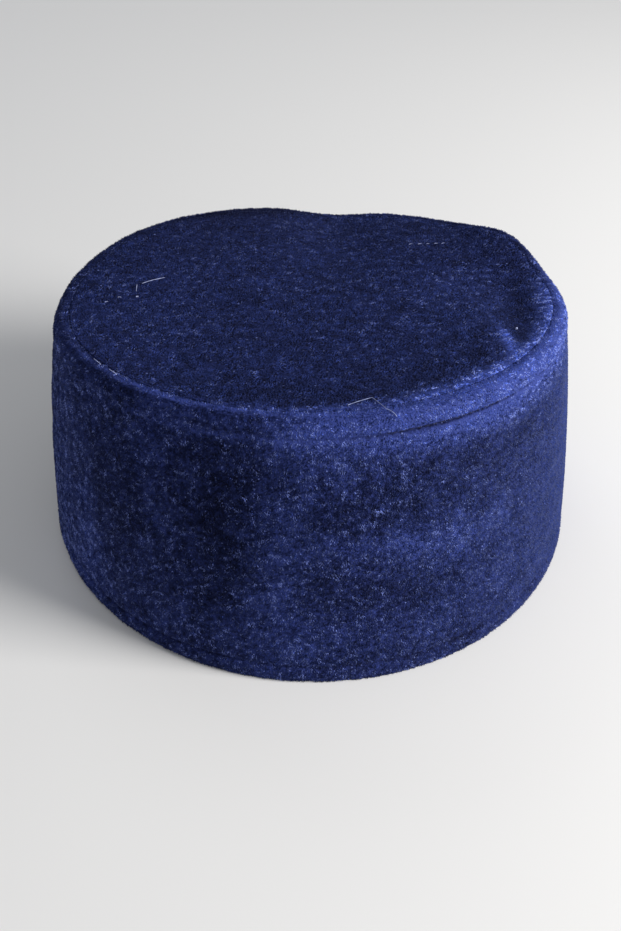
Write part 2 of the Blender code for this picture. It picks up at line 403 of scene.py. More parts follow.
# Lint on the top: a speck at the ridge, fibres and specks on the left, a broken line at the back right
LINT = (
    Lint(along=0.71, across=-0.426, heading=20, length=0.0006, thickness=0.0007),
    Lint(along=-0.612, across=0.224, heading=17, length=0.0078, thickness=0.00016),
    Lint(along=-0.680, across=0.17, heading=84, length=0.0040, thickness=0.00014),
    Lint(along=-0.681, across=0.093, heading=0, length=0.0006, thickness=0.0004),
    Lint(along=-0.799, across=0.075, heading=8, length=0.0010, thickness=0.0002),
    Lint(along=-0.749, across=0.104, heading=-10, length=0.0010, thickness=0.0002),
    Lint(along=-0.837, across=-0.452, heading=-60, length=0.0038, thickness=0.0002),
    Lint(along=-0.784, across=-0.540, heading=-55, length=0.0034, thickness=0.00022),
    Lint(along=0.485, across=0.434, heading=-5, length=0.0012, thickness=0.00012),
    Lint(along=0.522, across=0.423, heading=5, length=0.0014, thickness=0.00012),
    Lint(along=0.555, across=0.412, heading=-8, length=0.0010, thickness=0.00012),
    Lint(along=0.588, across=0.402, heading=4, length=0.0013, thickness=0.00012),
    Lint(along=0.616, across=0.392, heading=-4, length=0.0010, thickness=0.00012),
)

# A loose kinked thread at the front of the top, as shares of its half sizes
LOOSE_THREAD = ((-0.019, -0.907), (0.070, -0.872), (0.102, -0.952), (0.135, -0.982))
THREAD_RADIUS = 0.0001
THREAD_BOW = 0.002
THREAD_CLEARANCE = 0.0006


def bell(offset, spread):
    """A smooth bump that is 1 at no offset and fades over the spread."""
    return np.exp(-0.5 * (offset / spread) ** 2)


def turned(angle, centre):
    """The signed difference between angles in degrees, at most half a turn."""
    return (angle - centre + 180) % 360 - 180


def facing(angle, row):
    """How near angles are to a row's own, 1 there and fading over its spread."""
    return bell(turned(angle, row.angle), row.spread)


def round_patch(angle, place, row):
    """A row's patch at angles round the cap and shares up the wall or out on the top."""
    return row.nap * facing(angle, row) * bell(place - row.place, row.reach)


def top_patch(along, across, row):
    """A row's patch at places on the top."""
    reach = bell(along - row.along, row.reach_along)
    return row.nap * reach * bell(across - row.across, row.reach_across)


def points_of(mesh):
    """The places of a mesh's vertices, one row each."""
    places = np.empty(len(mesh.vertices) * 3)
    mesh.vertices.foreach_get("co", places)
    return places.reshape(-1, 3)


def normals_of(mesh):
    """The normals at a mesh's vertices, one row each."""
    normals = np.empty(len(mesh.vertices) * 3)
    mesh.vertices.foreach_get("normal", normals)
    return normals.reshape(-1, 3)


def wall_place(points):
    """Angle in degrees and share of the height to the top edge of points on the wall."""
    share = np.clip(points[:, 2] / SIDE_HEIGHT, 0, 1)
    half_length = HEM_HALF[0] + (TOP_HALF[0] - HEM_HALF[0]) * share
    half_width = HEM_HALF[1] + (TOP_HALF[1] - HEM_HALF[1]) * share
    along = (points[:, 0] - TOP_LEAN * share) / half_length
    angle = np.degrees(np.arctan2(points[:, 1] / half_width, along))
    return angle, np.clip(points[:, 2] / edge_height(angle), 0, WALL_SHARE_END)


def top_place(points):
    """Places of points on the top as shares of its half sizes."""
    return (points[:, 0] - TOP_LEAN) / TOP_HALF[0], points[:, 1] / TOP_HALF[1]


def edge_distance(points):
    """How far points lie outside the top's oval outline, below 0 inside it."""
    along, across = top_place(points)
    radius = np.hypot(along, across)
    steepness = np.hypot(along / TOP_HALF[0], across / TOP_HALF[1]) / np.maximum(radius, CENTRE_GUARD)
    return (radius - 1) / np.maximum(steepness, CENTRE_GUARD)


def near_top(points):
    """True for points on the top or high on the wall, where the seam's outline counts."""
    return points[:, 2] > SIDE_HEIGHT * NEAR_TOP


def at_seam(points, reach):
    """How near points are to the seam, 1 on it and fading over a reach."""
    return bell(edge_distance(points) + SEAM_INSET, reach) * near_top(points)


def outward_at(points):
    """The level directions out of the top's oval at points."""
    along, across = top_place(points)
    outward = np.stack((along / TOP_HALF[0], across / TOP_HALF[1], np.zeros(len(points))), 1)
    return outward / np.maximum(np.linalg.norm(outward, axis=1), LENGTH_GUARD)[:, None]


def edge_height(angle):
    """Height of the top edge at angles round the cap."""
    lift = sum(row.rise * facing(angle, row) for row in EDGE_LIFTS)
    return SIDE_HEIGHT - REAR_FALL / 2 * np.sin(np.radians(angle)) + EDGE_LIFT * lift


def stitch_pull(angle):
    """How tightly the topstitching is pulled at angles round the cap, from 0 to 1."""
    return np.clip(sum(row.pull * facing(angle, row) for row in STITCH_PULLS), 0, 1)


def wall_pile_and_painted_light(angle, share):
    """How the wall's patches change its nap: brushed pile, with painted sheen, highlight and shade."""
    return sum(round_patch(angle, share, row) for row in WALL_PILE_AND_PAINTED_LIGHT)


def seam_painted_light(points):
    """How the painted shine along the seam, and the painted shade on its stretch at the back, change the
    nap of points near the top.
    """
    along, across = top_place(points)
    angle, inside = np.degrees(np.arctan2(across, along)), -edge_distance(points)
    shine = sum(row.nap * facing(angle, row) * bell(inside - row.inside, row.reach) for row in SEAM_SHINE_AND_SHADE)
    return shine * near_top(points)


def top_pile_and_painted_light(along, across):
    """How the top's patches change its nap, with the ridge's painted highlight and the painted shade near
    the rim.
    """
    angle, radius = np.degrees(np.arctan2(across, along)), np.hypot(along, across)
    inside = sum(top_patch(along, across, row) for row in TOP_PILE_AND_HIGHLIGHT)
    rim = sum(round_patch(angle, radius, row) for row in TOP_RIM_PAINTED_SHADE)
    return inside + rim


def blended_at_seam(nap, points):
    """The nap of points near the seam, drawn to what lies between the wall's and the top's."""
    along, across = top_place(points)
    angle = np.arctan2(across, along)
    outer = RIM_LEVEL + wall_pile_and_painted_light(np.degrees(angle), 1.0)
    inner = TOP_LEVEL + top_pile_and_painted_light(SEAM_RADIUS * np.cos(angle), SEAM_RADIUS * np.sin(angle))
    return nap + ((outer + inner) / 2 - nap) * at_seam(points, SEAM_BLEND)


def seam_shift(points, normals, rise):
    """How points move to close the slit at the seam and to fill its dip."""
    offset = edge_distance(points) + SEAM_INSET
    lip = np.clip(1 - np.abs(offset) / SEAM_LIP, 0, 1)
    dip = np.clip(1 - np.abs(offset) / SEAM_REACH, 0, 1)
    near = near_top(points)
    shift = outward_at(points) * (-np.sign(offset) * SEAM_CLOSING * lip * near)[:, None]
    wide, narrow = rise[0] * dip ** SEAM_RISE_POWERS[0], rise[1] * lip ** SEAM_RISE_POWERS[1]
    shift[:, 2] = (wide + narrow) * (near & (normals[:, 2] > 0))
    return shift


def crushing(points, size, seed, octaves=3):
    """Uneven crushing of the pile, about -1 to 1, with patches of a size."""
    shift = Vector((seed, -seed, seed / 2))
    return np.array([
        noise.fractal(Vector(point) / size + shift, NOISE_DECAY, NOISE_STEP, octaves) for point in points
    ])


# Camera, floor and light


def make_camera():
    """The photograph's camera, above the floor on which the cap stands."""
    angles = (CAMERA_ELEVATION, CAMERA_AZIMUTH, CAMERA_ROLL)
    elevation, azimuth, roll = (math.radians(angle) for angle in angles)
    level = math.cos(elevation)
    back = Vector((math.sin(azimuth) * level, -math.cos(azimuth) * level, math.sin(elevation)))
    right = (-back).cross(Vector((0, 0, 1))).normalized()
    up = back.cross(right)
    turn = Matrix((right, up, back)).transposed() @ Matrix.Rotation(roll, 3, "Z")
    place = Vector(CAMERA_AIM) + back * CAMERA_DISTANCE
    bpy.ops.object.camera_add(location=place, rotation=turn.to_euler())
    camera = bpy.context.object
    camera.name = "photo_camera"
    camera.data.sensor_fit = "VERTICAL"
    camera.data.sensor_height = SENSOR_HEIGHT
    camera.data.lens = FOCAL_PIXELS / IMAGE_HEIGHT * SENSOR_HEIGHT
    bpy.context.scene.camera = camera


def soft_light(name, place, size, power, colour):
    """A square soft box that faces the cap."""
    bpy.ops.object.light_add(type="AREA", location=place)
    light = bpy.context.object
    light.name = name
    light.data.size = size
    light.data.energy = power
    light.data.color = colour
    light.rotation_euler = (Vector(place) - Vector(LIGHT_AIM)).to_track_quat("Z", "Y").to_euler()


def make_studio():
    """A plain pale floor, a pale world, and soft light from the front right and from above at the back."""
    bpy.ops.mesh.primitive_plane_add(size=FLOOR_SIZE)
    floor = bpy.context.object
    floor.name = "studio_floor"
    material, tree, shader = new_material("pale_floor")
    feed(tree, shader, {"Base Color": FLOOR_COLOUR, "Roughness": 0.9})
    floor.data.materials.append(material)
    world = bpy.data.worlds.new("studio")
    world.use_nodes = True
    background = world.node_tree.nodes["Background"]
    feed(world.node_tree, background, {"Color": WORLD_COLOUR, "Strength": WORLD_STRENGTH})
    bpy.context.scene.world = world
    bpy.context.scene.view_settings.view_transform = "Standard"
    soft_light("key_light", (0.95, -0.45, 0.55), size=0.5, power=20, colour=(1.0, 0.98, 0.96))
    soft_light("back_light", (-0.3, 0.9, 0.9), size=0.6, power=1.5, colour=(0.95, 0.97, 1.0))


# Materials


def new_material(name):
    """A new node material, its node tree and its shader."""
    material = bpy.data.materials.new(name)
    material.use_nodes = True
    return material, material.node_tree, material.node_tree.nodes["Principled BSDF"]


def feed(tree, node, values):
    """Feeds a node's inputs, each by name or number, from sockets or plain values."""
    for name, value in values.items():
        if isinstance(value, bpy.types.NodeSocket):
            tree.links.new(value, node.inputs[name])
        else:
            node.inputs[name].default_value = value


def object_place(tree):
    """The place on a piece in its own frame, as a socket."""
    return tree.nodes.new("ShaderNodeTexCoord").outputs["Object"]


def math_node(tree, operation, first, second):
    """The result of a math node fed by sockets or numbers."""
    node = tree.nodes.new("ShaderNodeMath")
    node.operation = operation
    feed(tree, node, {0: first, 1: second})
    return node.outputs[0]


def remapped(tree, value, old, new):
    """A value carried smoothly from one range to another, held at the ends."""
    node = tree.nodes.new("ShaderNodeMapRange")
    node.interpolation_type = "SMOOTHSTEP"
    feed(tree, node, {"Value": value, "From Min": old[0], "From Max": old[1]})
    feed(tree, node, {"To Min": new[0], "To Max": new[1]})
    return node.outputs["Result"]


def mixed_colour(tree, share, first, second):
    """Two colours mixed by a share."""
    node = tree.nodes.new("ShaderNodeMix")
    node.data_type = "RGBA"
    feed(tree, node, {"Factor": share, 6: first, 7: second})
    return node.outputs[2]


def add_bump(tree, shader, height, strength, distance):
    """Raises and sinks a shader's surface with a height."""
    bump = tree.nodes.new("ShaderNodeBump")
    feed(tree, bump, {"Strength": strength, "Distance": distance, "Height": height})
    feed(tree, shader, {"Normal": bump.outputs["Normal"]})


def noise_at(tree, place, scale, detail, roughness):
    """A noise at a place, in patches set by its scale."""
    node = tree.nodes.new("ShaderNodeTexNoise")
    feed(tree, node, {"Vector": place, "Scale": scale, "Detail": detail, "Roughness": roughness})
    return node.outputs[0]


def pile_group():
    """Node group of velvet pile: glints, tufts and their height, from Object coordinates and nap."""
    group = bpy.data.node_groups.new("velvet_pile", "ShaderNodeTree")
    face = group.interface
    face.new_socket("Coordinates", in_out="INPUT", socket_type="NodeSocketVector")
    for name in ("Nap", "Tuft Size", "Glint Size"):
        face.new_socket(name, in_out="INPUT", socket_type="NodeSocketFloat")
    for name in ("Brightness", "Glint", "Height"):
        face.new_socket(name, in_out="OUTPUT", socket_type="NodeSocketFloat")
    inside = group.nodes.new("NodeGroupInput")
    outside = group.nodes.new("NodeGroupOutput")
    place, nap = inside.outputs["Coordinates"], inside.outputs["Nap"]
    tuft_size, glint_size = inside.outputs["Tuft Size"], inside.outputs["Glint Size"]

    cells = group.nodes.new("ShaderNodeTexVoronoi")
    cells.feature = "F1"
    feed(group, cells, {"Vector": place, "Scale": math_node(group, "DIVIDE", 1.0, glint_size)})
    split = group.nodes.new("ShaderNodeSeparateColor")
    feed(group, split, {"Color": cells.outputs["Color"]})
    dot = remapped(group, cells.outputs["Distance"], GLINT_EDGE, (1.0, 0.0))
    threshold = remapped(group, nap, (0.0, 1.0), GLINT_THRESHOLDS)
    lit = remapped(group, split.outputs[0], (threshold, 1.0), (0.0, 1.0))
    glint = math_node(group, "MULTIPLY", math_node(group, "MULTIPLY", lit, dot), split.outputs[1])

    tufts = noise_at(group, place, math_node(group, "DIVIDE", 0.5, tuft_size), 2.0, 0.65)
    clusters = noise_at(group, place, math_node(group, "DIVIDE", 0.1, tuft_size), 3.0, 0.6)
    tuft = remapped(group, tufts, NOISE_MIDDLE, (-TUFT_SWING, TUFT_SWING))
    cluster = remapped(group, clusters, NOISE_MIDDLE, (-CLUSTER_SWING, CLUSTER_SWING))
    bright = math_node(group, "ADD", nap, math_node(group, "ADD", tuft, cluster))
    height = math_node(group, "ADD", tufts, math_node(group, "MULTIPLY", dot, GLINT_HEIGHT))
    feed(group, outside, {"Brightness": bright, "Glint": glint, "Height": height})
    return group


def velvet_material(name, group, grain):
    """Crushed velvet, dark where the pile is seen end on and bright where it lies over."""
    dark, bright, glint = CLOTH_TONES
    material, tree, shader = new_material(name)
    nap = tree.nodes.new("ShaderNodeAttribute")
    nap.attribute_name = "nap"
    drawn_out = tree.nodes.new("ShaderNodeVectorMath")
    drawn_out.operation = "MULTIPLY"
    feed(tree, drawn_out, {0: object_place(tree), 1: grain})
    pile = tree.nodes.new("ShaderNodeGroup")
    pile.node_tree = group
    feed(tree, pile, {"Coordinates": drawn_out.outputs[0], "Nap": nap.outputs["Fac"]})
    feed(tree, pile, {"Tuft Size": TUFT_SIZE, "Glint Size": GLINT_SIZE})
    brightness = pile.outputs["Brightness"]
    lying = mixed_colour(tree, remapped(tree, brightness, (0.0, 1.0), (0.0, 1.0)), dark, bright)
    feed(tree, shader, {
        "Base Color": mixed_colour(tree, pile.outputs["Glint"], lying, glint),
        "Roughness": remapped(tree, brightness, (0.0, 1.0), CLOTH_ROUGHNESS),
        "Specular IOR Level": 0.05,
        "Sheen Weight": 0.16,
        "Sheen Roughness": 0.3,
        "Sheen Tint": SHEEN_BLUE,
    })
    add_bump(tree, shader, pile.outputs["Height"], strength=0.7, distance=0.0004)
    return material


def pile_materials():
    """Plain tones of pile from end on to lying over, first the blue ones and then the pale ones."""
    dark, bright, pale = (np.array(colour) for colour in PILE_TONES)
    shades = [
        dark + (top - dark) * ((step + 0.5) / tones) ** 2
        for top, tones in ((bright, BLUE_TONES), (pale, PALE_TONES))
        for step in range(tones)
    ]
    materials = []
    for number, colour in enumerate(shades):
        material, tree, shader = new_material(f"pile_tone_{number}")
        feed(tree, shader, {
            "Base Color": colour,
            "Roughness": 0.65,
            "Specular IOR Level": 0.08,
            "Sheen Weight": 0.1,
            "Sheen Roughness": 0.3,
            "Sheen Tint": SHEEN_BLUE,
        })
        materials.append(material)
    return materials


def fibre_material(name, colour, roughness, grain):
    """A spun fibre with a slight change of tone along it."""
    material, tree, shader = new_material(name)
    twist = tree.nodes.new("ShaderNodeTexNoise")
    feed(tree, twist, {"Vector": object_place(tree), "Scale": grain})
    share = remapped(tree, twist.outputs[0], (0.35, 0.65), (0.0, 1.0))
    shade = tuple(channel * FIBRE_SHADE for channel in colour[:3]) + (1,)
    feed(tree, shader, {"Base Color": mixed_colour(tree, share, shade, colour), "Roughness": roughness})
    return material


def backing_material():
    """The plain dark woven back of the cloth, inside the cap."""
    material, tree, shader = new_material("plain_backing")
    place = object_place(tree)
    threads = []
    for direction in ("X", "Z"):
        wave = tree.nodes.new("ShaderNodeTexWave")
        wave.bands_direction = direction
        feed(tree, wave, {"Vector": place, "Scale": 320.0, "Distortion": 0.6})
        threads.append(wave.outputs["Fac"])
    weave = math_node(tree, "MAXIMUM", *threads)
    colour = mixed_colour(tree, weave, *BACKING_TONES)
    feed(tree, shader, {"Base Color": colour, "Roughness": 0.85, "Specular IOR Level": 0.1})
    add_bump(tree, shader, weave, strength=0.3, distance=0.0002)
    return material


# Velvet pieces


def only(piece):
    """Makes a piece the only selected one, and active."""
    bpy.ops.object.select_all(action="DESELECT")
    piece.select_set(True)
    bpy.context.view_layer.objects.active = piece


def cloth_copy(node, name, levels):
    """A copy of a CAD node as one welded mesh of quads, smoothed by subdivision."""
    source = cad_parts[node]
    piece = bpy.data.objects.new(name, source.data.copy())
    bpy.context.scene.collection.objects.link(piece)
    piece.data.materials.clear()
    only(piece)
    bpy.ops.object.mode_set(mode="EDIT")
    bpy.ops.mesh.select_all(action="SELECT")
    bpy.ops.mesh.remove_doubles(threshold=WELD)
    bpy.ops.mesh.tris_convert_to_quads()
    bpy.ops.object.mode_set(mode="OBJECT")
    smooth = piece.modifiers.new("soft", "SUBSURF")
    smooth.levels = smooth.render_levels = levels
    bpy.ops.object.modifier_apply(modifier=smooth.name)
    return piece


def refine(piece, wanted, largest):
    """Cuts the faces of a kind once more where their area is over a limit."""
    only(piece)
    bpy.ops.object.mode_set(mode="EDIT")
    bpy.ops.mesh.select_mode(type="FACE")
    bpy.ops.mesh.select_all(action="DESELECT")
    shape = bmesh.from_edit_mesh(piece.data)
    for face in shape.faces:
        face.select_set(wanted(face) and face.calc_area() > largest)
    bmesh.update_edit_mesh(piece.data)
    bpy.ops.mesh.subdivide(number_cuts=1, smoothness=0)
    bpy.ops.object.mode_set(mode="OBJECT")


def faces_out(face):
    """True for a face of the wall's outer side."""
    middle, normal = face.calc_center_median(), face.normal
    away = middle.x * normal.x + middle.y * normal.y
    return away > OUTER_SLOPE * math.hypot(middle.x, middle.y)


def faces_up(face):
    """True for a face of the top's upper side."""
    return face.normal.z > OUTER_SLOPE


def set_values(piece, **layers):
    """Stores values at each vertex of a piece under their names."""
    for name, values in layers.items():
        layer = piece.data.attributes.new(name, "FLOAT", "POINT")
        values = np.broadcast_to(values, len(piece.data.vertices))
        layer.data.foreach_set("value", values.astype(np.float32))


def values_of(piece, name):
    """The values stored at each vertex of a piece under a name."""
    values = np.empty(len(piece.data.vertices), np.float32)
    piece.data.attributes[name].data.foreach_get("value", values)
    return values


def press(piece, points, normals, depth, rise):
    """Moves the vertices of a piece in along their normals by depths, and closes the seam."""
    moved = points - normals * depth[:, None] + seam_shift(points, normals, rise)
    moved[:, 2] = np.maximum(moved[:, 2], 0)
    piece.data.vertices.foreach_set("co", moved.ravel())
    piece.data.update()


def wear(piece, velvet, backing, shows):
    """Puts velvet on the faces whose corners mostly show, and plain backing on the others."""
    piece.data.materials.append(velvet)
    piece.data.materials.append(backing)
    for face in piece.data.polygons:
        face.material_index = int(sum(shows[vertex] for vertex in face.vertices) < 2)
    piece.data.shade_smooth()


def make_band(velvet, backing):
    """The side band's velvet, crushed in patches, with its two stitched grooves drawn in."""
    piece = cloth_copy("side_band", "band_velvet", 2)
    refine(piece, faces_out, LARGEST_FACE)
    points, normals = points_of(piece.data), normals_of(piece.data)
    angle, share = wall_place(points)
    upper = points[:, 2] > SIDE_HEIGHT / 2
    away = points[:, 0] * normals[:, 0] + points[:, 1] * normals[:, 1]
    shows = (away > 0) | ((normals[:, 2] > UPPER_SLOPE) & upper)
    clusters = crushing(points, CLUSTER_SIZE, WALL_SEEDS[0])
    creases = crushing(points, CREASE_SIZE, WALL_SEEDS[1])
    right, left = facing(angle, RIGHT_SIDE), facing(angle, LEFT_SIDE)
    calm = 1 - CALMING * right
    rim = np.where(shows & upper, np.clip(RIM_SLOPE * normals[:, 2] - RIM_START, 0, 1), 0)
    nap = WALL_LEVEL + (RIM_LEVEL - WALL_LEVEL) * rim
    nap = nap + (WALL_CLUSTER_NAP * clusters + WALL_CREASE_NAP * creases) * calm
    nap = blended_at_seam(nap + wall_pile_and_painted_light(angle, share), points)
    nap = np.maximum(nap + seam_painted_light(points), LOWEST_NAP)

    above = points[:, 2] - (edge_height(angle) - TOPSTITCH_DROP)
    pull = stitch_pull(angle)
    top_groove = bell(above, GROOVE_WIDTH) * pull
    hem_groove = HEM_GROOVE * bell(points[:, 2] - HEM_STITCH_HEIGHT, GROOVE_WIDTH)
    groove = np.where(shows, top_groove + hem_groove, 0)
    filled = GROOVE_FILLING * (1 - pull) * bell(above, FILLING_WIDTH)
    dents = CRUSH_DEPTH * (CLUSTER_DEPTH * clusters + CREASE_DEPTH * creases) * calm
    depth = np.where(shows, dents + GROOVE_EXTRA * groove - filled, 0)
    press(piece, points, normals, depth, BAND_SEAM_RISE)

    # Puffs beside the topstitching are lightened as a painted highlight, and the grooves darkened partly
    # as crushed pile and partly as painted shade
    puff_highlight = bell(np.abs(above) - PUFF_OFFSET, PUFF_WIDTH) * pull
    nap = nap * (1 - GROOVE_CRUSH_AND_SHADE * np.clip(groove, 0, 1)) + PUFF_HIGHLIGHT * puff_highlight
    shine = np.maximum(rim, round_patch(angle, share, WALL_SHINE))
    # Pale tufts: painted glints, more on the left and right as painted sheen, fewer in the shine
    pale = (WALL_PALE + LEFT_SHEEN_PALE * left + RIGHT_SHEEN_PALE * right) * (1 - SHINE_PALE_LOSS * shine)
    set_values(piece, nap=np.where(shows, nap, BACKING_NAP), groove=groove, pale=pale)
    set_values(piece, lie=crushing(points, CLUSTER_SIZE, WALL_SEEDS[2]))
    set_values(piece, drawn=np.maximum(rim, facing(angle, DRAWN_SIDE)))
    set_values(piece, grit=np.maximum(WALL_GRIT * calm, SHINE_GRIT * shine))
    wear(piece, velvet, backing, shows)
    return piece


def make_top(velvet, backing):
    """The top panel's velvet, more even than the wall's."""
    piece = cloth_copy("top_panel", "top_velvet", 2)
    refine(piece, faces_up, LARGEST_FACE)
    points, normals = points_of(piece.data), normals_of(piece.data)
    along, across = top_place(points)
    clusters = crushing(points, CLUSTER_SIZE, TOP_SEEDS[0])
    creases = crushing(points, CREASE_SIZE, TOP_SEEDS[1])
    nap = TOP_LEVEL + TOP_CLUSTER_NAP * clusters + TOP_CREASE_NAP * creases
    nap = blended_at_seam(nap + top_pile_and_painted_light(along, across), points)
    nap = np.maximum(nap + seam_painted_light(points), LOWEST_NAP)
    shows = normals[:, 2] > 0
    depth = np.where(shows, CRUSH_DEPTH * TOP_DEPTH * (clusters + creases), 0)
    press(piece, points, normals, depth, TOP_SEAM_RISE)

    shine = np.clip((nap - TOP_LEVEL) / TOP_SHINE_NAP, 0, 1)
    calm = 1 - RIDGE_CALMING * top_patch(along, across, RIDGE)
    set_values(piece, nap=np.where(shows, nap, BACKING_NAP), groove=0.0, drawn=1.0)
    set_values(piece, lie=crushing(points, CLUSTER_SIZE, TOP_SEEDS[2]))
    set_values(piece, grit=(TOP_GRIT + TOP_SHINE_GRIT * shine) * calm)
    set_values(piece, pale=TOP_PALE + REAR_PALE * across + TOP_SHINE_PALE * shine)
    wear(piece, velvet, backing, shows)
    return piece


# Pile


def triangles_of(mesh):
    """The corners of a mesh's triangles, three vertex numbers a row."""
    mesh.calc_loop_triangles()
    corners = np.empty(len(mesh.loop_triangles) * 3, np.int32)
    mesh.loop_triangles.foreach_get("vertices", corners)
    return corners.reshape(-1, 3)


def unit(vectors):
    """Vectors at length 1, one a row."""
    return vectors / np.linalg.norm(vectors, axis=1)[:, None]


def mesh_of_triangles(name, vertices, faces):
    """A mesh from arrays of its places and its triangles' vertex numbers."""
    mesh = bpy.data.meshes.new(name)
    mesh.vertices.add(len(vertices))
    mesh.vertices.foreach_set("co", vertices.ravel())
    mesh.loops.add(faces.size)
    mesh.loops.foreach_set("vertex_index", faces.ravel())
    mesh.polygons.add(len(faces))
    mesh.polygons.foreach_set("loop_start", np.arange(0, faces.size, 3, dtype=np.int32))
    mesh.update(calc_edges=True)
    return mesh


def pile_roots(cloth, chance, count):
    """Evenly scattered places on a cloth's velvet side, with what is stored there."""
    points, normals, corners = points_of(cloth.data), normals_of(cloth.data), triangles_of(cloth.data)
    layers = [values_of(cloth, name) for name in ("nap", "groove", "lie", "drawn", "grit", "pale")]
    owner = np.empty(len(corners), np.int32)
    cloth.data.loop_triangles.foreach_get("polygon_index", owner)
    wears = np.empty(len(cloth.data.polygons), np.int32)
    cloth.data.polygons.foreach_get("material_index", wears)
    upper = points[corners][:, :, 2].mean(1) > SIDE_HEIGHT / 2
    grows = (wears[owner] == 0) & ((normals[corners].mean(1)[:, 2] > UNDER_SLOPE) | upper)
    open_pile = np.clip(1 - GROOVE_THINNING * layers[1][corners].mean(1), 0, 1)
    first, second, third = (points[corners[:, step]] for step in range(3))
    seam = at_seam((first + second + third) / 3, SEAM_LIP / 2)
    area = np.linalg.norm(np.cross(second - first, third - first), axis=1)
    area *= grows * open_pile * (1 + SEAM_PILE * seam)
    chosen = corners[chance.choice(len(corners), count, p=area / area.sum())]
    weights = chance.dirichlet((1, 1, 1), count)
    root = (points[chosen] * weights[:, :, None]).sum(1)
    normal = unit((normals[chosen] * weights[:, :, None]).sum(1))
    return root, normal, *((layer[chosen] * weights).sum(1) for layer in layers)


def flecks_at(root, drawn):
    """Flecks of the pile, even where it is plain and drawn out where it is drawn."""
    plain_fleck = crushing(root * PLAIN_GRAIN, FLECK_SIZE, FLECK_SEEDS[0], FLECK_OCTAVES) * (1 - drawn)
    drawn_fleck = crushing(root * DRAWN_GRAIN, FLECK_SIZE, FLECK_SEEDS[1], FLECK_OCTAVES) * drawn
    return (plain_fleck + drawn_fleck) / (np.hypot(drawn, 1 - drawn) * FLECK_SPREAD)


def tuft_mesh(name, root, normal, axis, length, across, spin, width):
    """Slim three-sided tufts from their roots along their axes, as one mesh."""
    beside = np.cross(across, axis)
    places = [root + axis * length[:, None]]
    for step in range(TUFT_SIDES):
        turn = spin + step * 2 * math.pi / TUFT_SIDES
        ring = across * np.cos(turn)[:, None] + beside * np.sin(turn)[:, None]
        places.append(root - normal * PILE_ROOT + ring * width[:, None])
    places = np.stack(places, 1).reshape(-1, 3)
    places[:, 2] = np.maximum(places[:, 2], FLOOR_CLEARANCE)
    start = np.arange(len(root), dtype=np.int32)[:, None] * (TUFT_SIDES + 1)
    sides = np.array(((0, 1, 2), (0, 2, 3), (0, 3, 1)), dtype=np.int32).ravel()
    return mesh_of_triangles(name, places, (start + sides).reshape(-1, 3))


def tone_number(level, tones, blur):
    """Which of a count of tones a level from 0 to 1 takes, blurred between two of them."""
    return np.clip(level * tones - 0.5 + TONE_BLUR * blur, 0, tones - 1).round()


def tuft_tones(chance, nap, rough, pale, fleck):
    """The material number of each tuft, a blue tone by its nap or at times a pale one."""
    count = len(nap)
    level = np.sqrt(nap * (1 + TONE_SCATTER * chance.standard_normal(count)).clip(*TONE_RANGE) / TONE_TOP)
    blur = chance.random(count) - 0.5
    blue = tone_number(level, BLUE_TONES, blur)
    paler = tone_number(level * (PALE_DIMMING + PALE_ROUGH_LIFT * rough), PALE_TONES, blur)
    odds = ((1 - pale) / np.clip(pale, PALE_GUARD, 1)) ** PALE_SHARPNESS * np.exp(-PALE_FLECKS * fleck)
    return np.where(chance.random(count) < 1 / (1 + odds), BLUE_TONES + paler, blue).astype(np.int32)


def grow_pile(cloth, name, seed, flow, over_seam, width, materials):
    """Short tufts all over a cloth's velvet side as one piece, leaning with its flow and over the seam."""
    chance = np.random.default_rng(seed)
    count = TUFTS_A_PIECE
    root, normal, nap, groove, lie, drawn, grit, pale = pile_roots(cloth, chance, count)
    fleck = flecks_at(root, drawn)
    held = FLECK_HOLD * np.clip((grit - WALL_GRIT) / (SHINE_GRIT - WALL_GRIT), 0, 1)
    nap = np.clip(nap, *PILE_NAP) * (held + (1 - held) * np.exp(grit * fleck - 0.5 * grit**2))

    near = at_seam(root, SEAM_LIP)
    flow = np.array(flow) * (1 - near)[:, None] + outward_at(root) * (over_seam * near)[:, None]
    ahead = unit(flow - normal * (flow * normal).sum(1)[:, None] + FLOW_GUARD)
    aside = np.cross(normal, ahead)
    rough = CALM_ROUGHNESS + (1 - CALM_ROUGHNESS) * np.clip(grit / ROUGH_GRIT, 0, 1)
    heading = LIE_TURN * lie + TURN_SCATTER * rough * chance.standard_normal(count)
    heading = heading * (1 - SEAM_STEADYING * near)
    side = ahead * np.cos(heading)[:, None] + aside * np.sin(heading)[:, None]
    lean = UPRIGHT_LEAN + NAP_LEAN * nap + LEAN_SCATTER * rough * chance.standard_normal(count)
    axis = unit(normal + side * np.clip(lean, *LEAN_RANGE)[:, None])
    size = 1 - GROOVE_SHRINKING * np.clip(GROOVE_SHARPNESS * groove, 0, 1)
    length = PILE_LENGTH * (SHORTEST_TUFT + LENGTH_SCATTER * chance.random(count)) * size
    across = unit(np.cross(axis, side + normal * TILT_GUARD))
    spin = 2 * math.pi * chance.random(count)
    mesh = tuft_mesh(name, root, normal, axis, length, across, spin, width * size)
    for material in materials:
        mesh.materials.append(material)
    mesh.polygons.foreach_set(
        "material_index", np.repeat(tuft_tones(chance, nap, rough, pale, fleck), TUFT_SIDES)
    )
    piece = bpy.data.objects.new(name, mesh)
    bpy.context.scene.collection.objects.link(piece)
    return piece


# Stitches and lint


def surface_hit(tree, angle, height):
    """The place and normal where the wall is met from outside at an angle and height."""
    turn = math.radians(angle)
    inward = Vector((-HEM_HALF[0] * math.cos(turn), -HEM_HALF[1] * math.sin(turn), 0)).normalized()
    start = Vector((TOP_LEAN, 0, height)) - inward * RAY_START
    place, normal, _, _ = tree.ray_cast(start, inward)
    return place, normal


